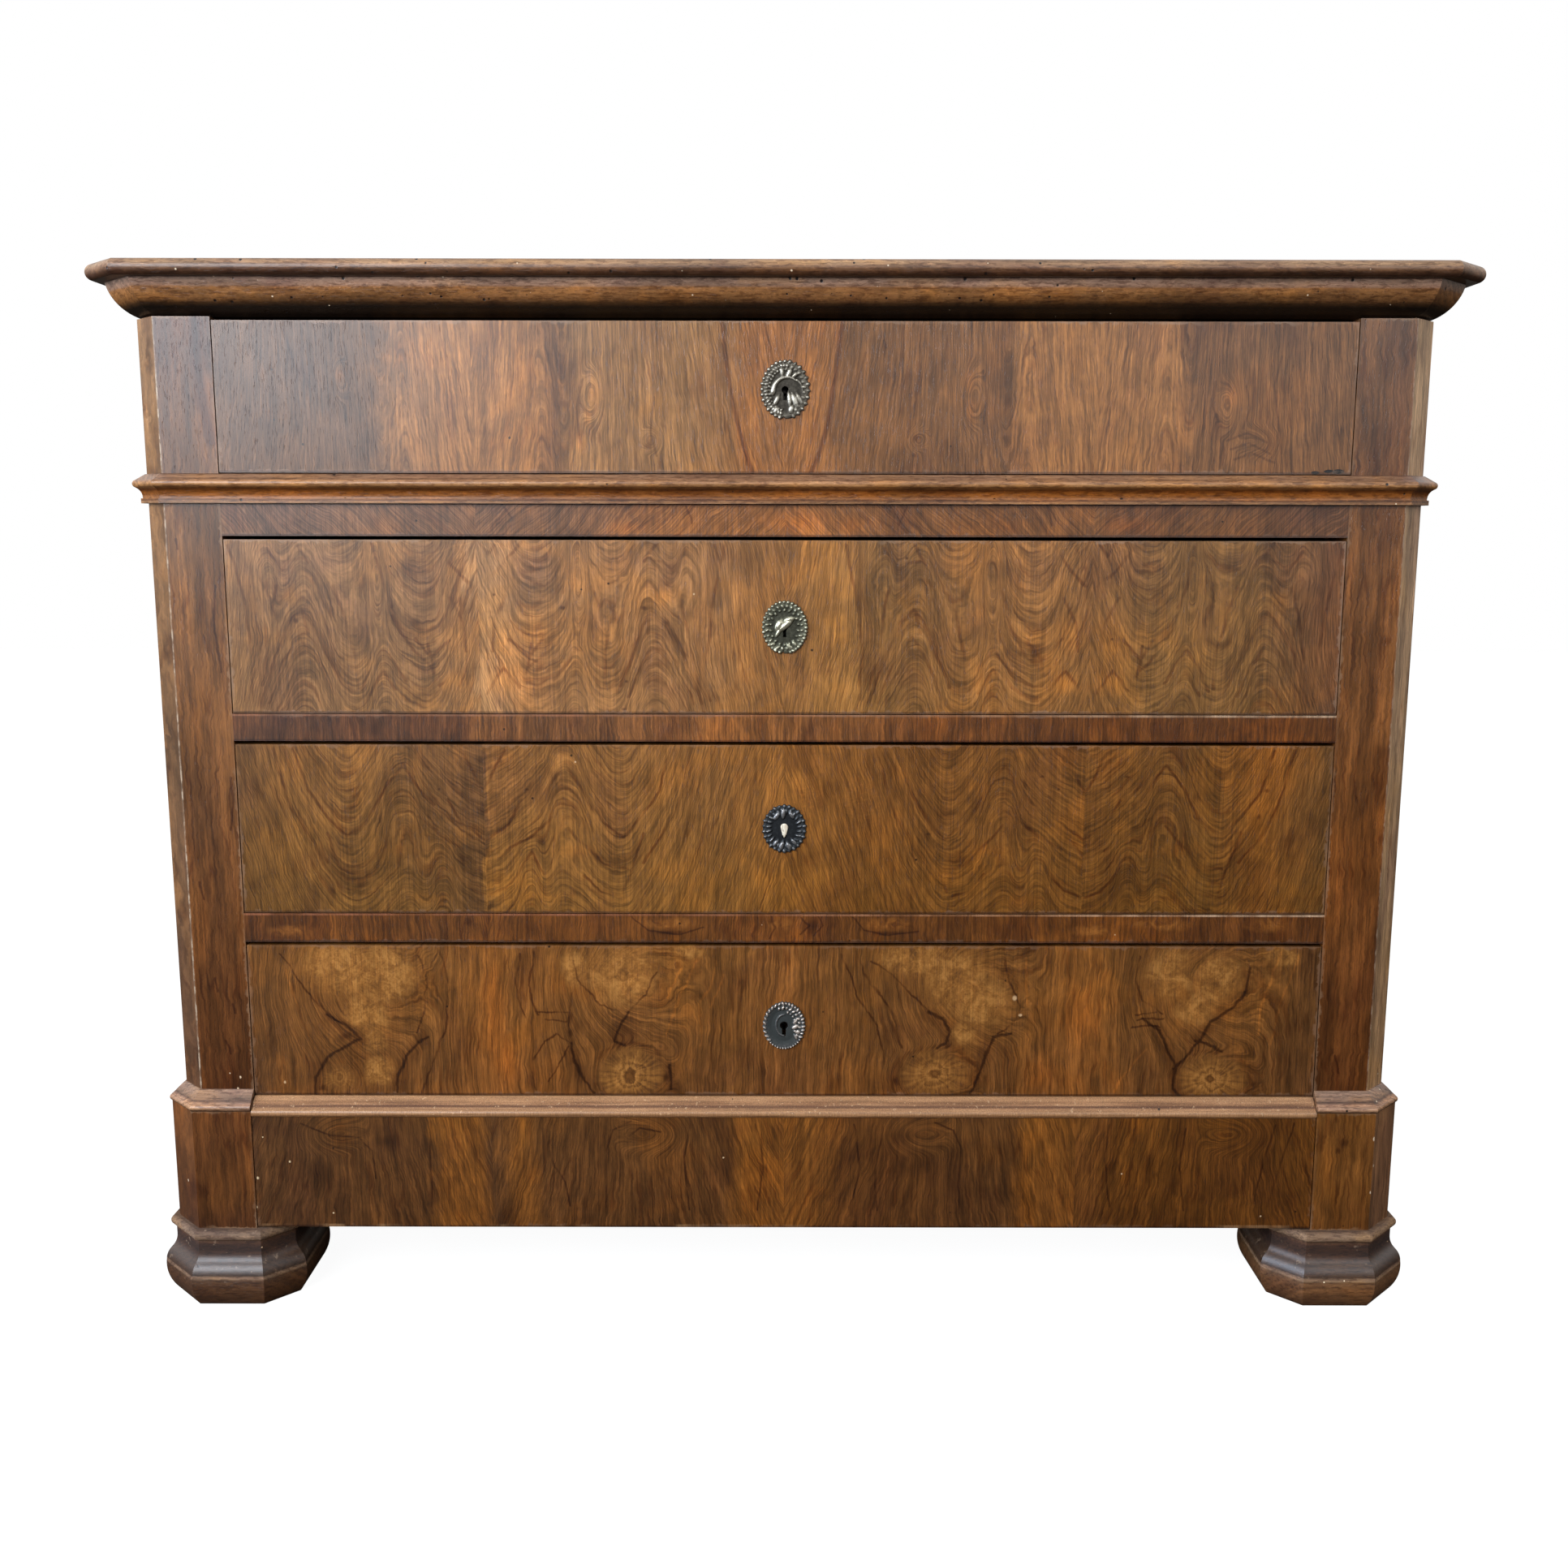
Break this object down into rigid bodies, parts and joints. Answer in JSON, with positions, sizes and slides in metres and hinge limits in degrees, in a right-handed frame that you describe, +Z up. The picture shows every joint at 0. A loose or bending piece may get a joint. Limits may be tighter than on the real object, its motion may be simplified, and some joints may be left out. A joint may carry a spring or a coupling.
{
  "type": "chest of drawers",
  "caption": "Walnut chest of drawers with lockable drawers, a hidden plinth drawer, an ovolo cornice, cut corners and octagonal front feet.",
  "frame": {"origin": "on the floor, under the middle of the whole piece", "axes": "+X to the right seen from the front, +Y to the back, +Z up; the drawers open along -Y"},
  "size_m": [1.25, 0.56, 0.984],
  "materials": {
    "walnut_top": "satin wax polish",
    "walnut_moulding": "satin wax polish, worn arrises",
    "walnut_post": "satin wax polish",
    "walnut_veneer": "book-matched figured veneer, satin wax polish",
    "walnut_side": "satin wax polish",
    "oak_inside": "bare, planed",
    "cast_brass": "old cast brass, dark in the hollows",
    "lock_iron": "filed iron, tarnished"
  },
  "bodies": {
    "carcass": {"top_board": "walnut_top", "cornice_front": "walnut_moulding", "cornice_left": "walnut_moulding", "cornice_right": "walnut_moulding", "stile_left": "walnut_post", "stile_right": "walnut_post", "rear_posts": "oak_inside", "side_panel_left": "walnut_side", "side_panel_right": "walnut_side", "back_boards": "oak_inside", "waist_rail": "walnut_veneer", "drawer_rails": "walnut_veneer", "plinth_rails": "oak_inside", "rear_rails": "oak_inside", "waist_moulding_front": "walnut_moulding", "waist_moulding_left": "walnut_moulding", "waist_moulding_right": "walnut_moulding", "plinth_moulding_left": "walnut_moulding", "plinth_moulding_right": "walnut_moulding", "plinth_block_left": "walnut_post", "plinth_block_right": "walnut_post", "plinth_sides": "walnut_side", "front_foot_left": "walnut_post", "front_foot_right": "walnut_post", "rear_feet": "oak_inside", "drawer_runners": "oak_inside", "drawer_stops": "oak_inside", "strike_plates": "lock_iron"},
    "drawer_1": {"drawer_1_front": "walnut_veneer", "drawer_1_sides": "oak_inside", "drawer_1_back": "oak_inside", "drawer_1_bottom": "oak_inside", "drawer_1_lock": "lock_iron", "drawer_1_escutcheon": "cast_brass"},
    "drawer_1_bolt": {"drawer_1_bolt": "lock_iron"},
    "drawer_2": {"drawer_2_front": "walnut_veneer", "drawer_2_sides": "oak_inside", "drawer_2_back": "oak_inside", "drawer_2_bottom": "oak_inside", "drawer_2_lock": "lock_iron", "drawer_2_escutcheon": "cast_brass"},
    "drawer_2_bolt": {"drawer_2_bolt": "lock_iron"},
    "drawer_3": {"drawer_3_front": "walnut_veneer", "drawer_3_sides": "oak_inside", "drawer_3_back": "oak_inside", "drawer_3_bottom": "oak_inside", "drawer_3_lock": "lock_iron", "drawer_3_escutcheon": "cast_brass"},
    "drawer_3_bolt": {"drawer_3_bolt": "lock_iron"},
    "drawer_4": {"drawer_4_front": "walnut_veneer", "drawer_4_sides": "oak_inside", "drawer_4_back": "oak_inside", "drawer_4_bottom": "oak_inside", "drawer_4_lock": "lock_iron", "drawer_4_escutcheon": "cast_brass"},
    "drawer_4_bolt": {"drawer_4_bolt": "lock_iron"},
    "plinth_drawer": {"plinth_drawer_front": "walnut_veneer", "plinth_drawer_sides": "oak_inside", "plinth_drawer_back": "oak_inside", "plinth_drawer_bottom": "oak_inside"}
  },
  "joints": [
    {"name": "drawer_1_slide", "type": "slide", "parent": "carcass", "child": "drawer_1", "axis": [0, -1, 0], "range_m": [0, 0.38]},
    {"name": "drawer_1_bolt_lift", "type": "slide", "parent": "drawer_1", "child": "drawer_1_bolt", "axis": [0, 0, 1], "range_m": [0, 0.009]},
    {"name": "drawer_2_slide", "type": "slide", "parent": "carcass", "child": "drawer_2", "axis": [0, -1, 0], "range_m": [0, 0.38]},
    {"name": "drawer_2_bolt_lift", "type": "slide", "parent": "drawer_2", "child": "drawer_2_bolt", "axis": [0, 0, 1], "range_m": [0, 0.009]},
    {"name": "drawer_3_slide", "type": "slide", "parent": "carcass", "child": "drawer_3", "axis": [0, -1, 0], "range_m": [0, 0.38]},
    {"name": "drawer_3_bolt_lift", "type": "slide", "parent": "drawer_3", "child": "drawer_3_bolt", "axis": [0, 0, 1], "range_m": [0, 0.009]},
    {"name": "drawer_4_slide", "type": "slide", "parent": "carcass", "child": "drawer_4", "axis": [0, -1, 0], "range_m": [0, 0.38]},
    {"name": "drawer_4_bolt_lift", "type": "slide", "parent": "drawer_4", "child": "drawer_4_bolt", "axis": [0, 0, 1], "range_m": [0, 0.009]},
    {"name": "plinth_drawer_slide", "type": "slide", "parent": "carcass", "child": "plinth_drawer", "axis": [0, -1, 0], "range_m": [0, 0.38]}
  ]
}
